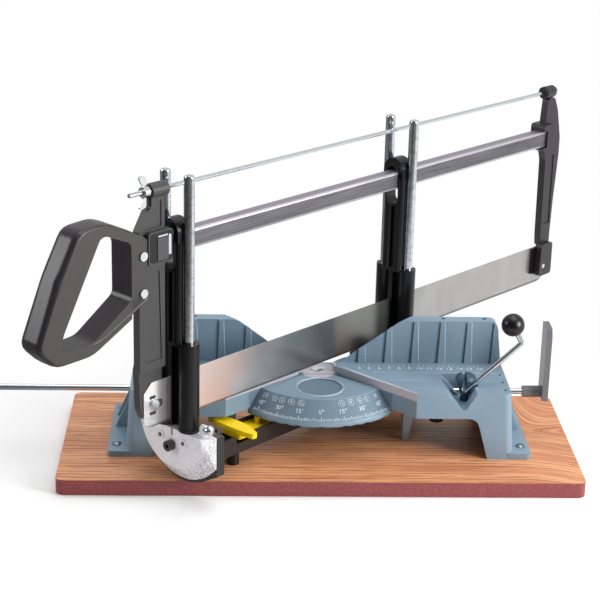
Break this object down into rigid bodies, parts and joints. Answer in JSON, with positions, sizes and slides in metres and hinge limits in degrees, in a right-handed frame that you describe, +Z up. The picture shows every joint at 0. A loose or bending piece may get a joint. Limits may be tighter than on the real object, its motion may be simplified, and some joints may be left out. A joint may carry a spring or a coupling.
{
  "type": "mitre saw",
  "caption": "Hand mitre saw on a wooden board: cast table with fence and dial, swinging and tilting guide arm, framed blade sliding on rods, length stop and work clamp.",
  "frame": {"origin": "centre of the board's underside", "axes": "+X along the fence to the right, +Y away from the user, +Z up"},
  "size_m": [0.6174, 0.5405, 0.3177],
  "materials": {
    "board_laminate": "satin laminate",
    "blue_casting": "satin grey-blue paint",
    "black_coat": "fine textured black",
    "black_plastic": "matte",
    "zinc": "bright zinc plate",
    "blade_steel": "brushed along the length",
    "die_cast": "matte, shot blasted",
    "yellow_plastic": "satin"
  },
  "bodies": {
    "base": {"base_board": "board_laminate", "base_casting": "blue_casting", "foot_screw_front_right": "zinc", "foot_screw_back_right": "zinc", "foot_screw_front_left": "zinc", "foot_screw_back_left": "zinc", "pivot_bolt": "zinc", "pivot_washer": "zinc", "pivot_nut": "zinc"},
    "arm": {"mitre_arm": "black_coat", "arm_glide_pad": "black_plastic", "detent_pin": "zinc", "detent_spring": "zinc"},
    "detent": {"detent_lever": "yellow_plastic"},
    "tilt": {"tilt_bracket_front": "die_cast", "tilt_bracket_rear": "die_cast", "tilt_bolt_front": "black_coat", "tilt_bolt_rear": "black_coat", "tilt_nut_front": "zinc", "tilt_nut_rear": "zinc", "stop_collar_front": "black_plastic", "stop_collar_rear": "black_plastic", "rod_screw_front_left": "black_coat", "guide_rod_front_left": "zinc", "rod_screw_front_right": "black_coat", "guide_rod_front_right": "zinc", "rod_screw_rear_left": "black_coat", "guide_rod_rear_left": "zinc", "rod_screw_rear_right": "black_coat", "guide_rod_rear_right": "zinc"},
    "thumb_screw": {"tilt_thumb_screw": "zinc"},
    "front_guide": {"guide_front": "black_plastic"},
    "rear_guide": {"guide_rear": "black_plastic"},
    "saw": {"saw_blade": "blade_steel", "back_bar": "zinc", "frame_arm_front": "black_coat", "frame_arm_rear": "black_coat", "blade_pin_front": "zinc", "blade_pin_rear": "zinc", "tension_rod": "zinc", "handle": "black_plastic", "handle_rivet_upper": "zinc", "handle_rivet_lower": "zinc"},
    "tension_nut": {"wing_nut": "zinc"},
    "length_stop": {"stop_rod": "zinc", "stop_plate": "black_plastic"},
    "stop_knob": {"stop_lock_knob": "black_plastic"},
    "clamp": {"clamp_cam": "blue_casting", "clamp_lever": "zinc", "clamp_ball": "black_plastic"}
  },
  "joints": [
    {"name": "mitre_swing", "type": "hinge", "parent": "base", "child": "arm", "pos_m": [0, 0.027, 0.037], "axis": [0, 0, 1], "range_deg": [0, 90]},
    {"name": "detent_press", "type": "hinge", "parent": "arm", "child": "detent", "pos_m": [-0.03394, -0.00694, 0.0412], "axis": [0.7071, -0.7071, 0], "range_deg": [0, 4], "stiffness_Nm_per_rad": 0.15, "springref_deg": -11.46, "deforming": ["detent_spring"]},
    {"name": "bevel_tilt", "type": "hinge", "parent": "arm", "child": "tilt", "pos_m": [0, 0.027, 0.076], "axis": [-0.7071, -0.7071, 0], "range_deg": [0, 45]},
    {"name": "thumb_spin", "type": "hinge", "parent": "tilt", "child": "thumb_screw", "pos_m": [-0.10536, -0.13776, 0.0803], "axis": [0.7071, -0.7071, 0], "continuous": true},
    {"name": "lift_front", "type": "slide", "parent": "tilt", "child": "front_guide", "axis": [0, 0, 1], "range_m": [0, 0.1]},
    {"name": "lift_rear", "type": "slide", "parent": "tilt", "child": "rear_guide", "axis": [0, 0, 1], "range_m": [0, 0.1]},
    {"name": "saw_stroke", "type": "slide", "parent": "front_guide", "child": "saw", "axis": [0.7071, 0.7071, 0], "range_m": [-0.21, 0]},
    {"name": "tension_spin", "type": "hinge", "parent": "saw", "child": "tension_nut", "pos_m": [-0.16688, -0.13988, 0.303], "axis": [0.7071, 0.7071, 0], "continuous": true},
    {"name": "stop_slide", "type": "slide", "parent": "base", "child": "length_stop", "axis": [1, 0, 0], "range_m": [-0.009, 0.3]},
    {"name": "stop_knob_spin", "type": "hinge", "parent": "base", "child": "stop_knob", "pos_m": [0.1171, -0.001, 0.04], "axis": [0, 0, 1], "continuous": true},
    {"name": "clamp_turn", "type": "hinge", "parent": "base", "child": "clamp", "pos_m": [0.1396, -0.022, 0.07], "axis": [0, 0, 1], "range_deg": [-80, 0]}
  ],
  "couplings": [
    {"joint": "lift_rear", "follows": "lift_front", "ratio": 1}
  ]
}
